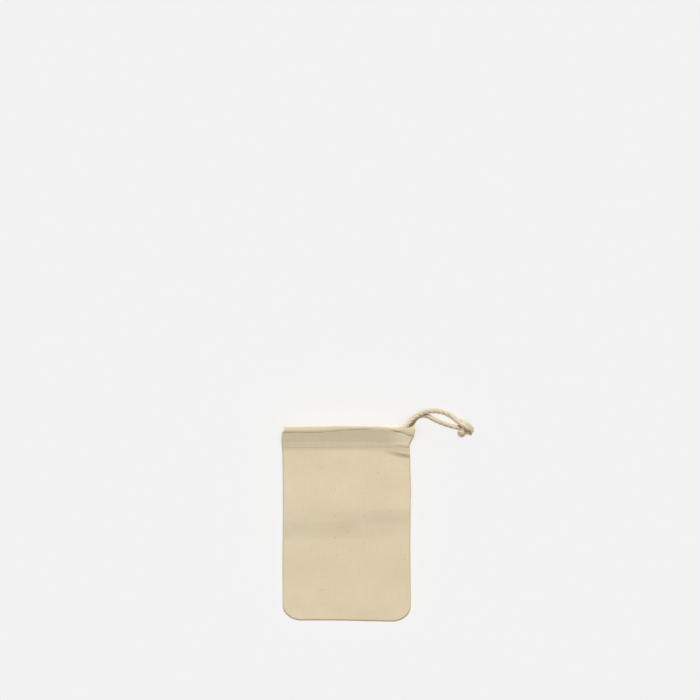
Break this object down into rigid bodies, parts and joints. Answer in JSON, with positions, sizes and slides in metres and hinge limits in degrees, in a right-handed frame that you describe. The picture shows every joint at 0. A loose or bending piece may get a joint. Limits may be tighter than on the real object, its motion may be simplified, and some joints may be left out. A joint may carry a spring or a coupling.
{
  "type": "drawstring gift pouch",
  "caption": "Small flat-lying cotton muslin pouch with a cord tunnel round its mouth and a knotted drawcord that leaves at one side.",
  "frame": {"origin": "under the middle of the pouch, on the surface that the back panel lies on, without the drawcord's tails", "axes": "+Z out of the front panel, +Y to the mouth, +X to the side where the drawcord leaves"},
  "size_m": [0.151, 0.1675, 0.0141],
  "materials": {
    "muslin": "matte plain weave",
    "sewing_thread": "matte twisted thread",
    "cotton_cord": "matte twisted strands"
  },
  "bodies": {
    "pouch": {"front_panel": "muslin", "back_panel": "muslin", "front_tunnel_facing": "muslin", "back_tunnel_facing": "muslin", "left_seam_allowance": "muslin", "right_seam_allowance": "muslin", "bottom_seam_allowance": "muslin", "front_hem_stitches": "sewing_thread", "back_hem_stitches": "sewing_thread", "left_seam_stitches": "sewing_thread", "right_seam_stitches": "sewing_thread", "bottom_seam_stitches": "sewing_thread"},
    "drawcord": {"drawcord_front_run": "cotton_cord", "drawcord_back_run": "cotton_cord", "drawcord_turn": "cotton_cord", "drawcord_upper_tail": "cotton_cord", "drawcord_lower_tail": "cotton_cord", "drawcord_knot": "cotton_cord", "drawcord_frayed_end": "cotton_cord", "drawcord_tucked_end": "cotton_cord"}
  },
  "joints": [
    {"name": "drawcord_pull", "type": "slide", "parent": "pouch", "child": "drawcord", "axis": [1, 0, 0], "range_m": [0, 0.07], "deforming": ["front_tunnel_facing", "back_tunnel_facing"]}
  ]
}
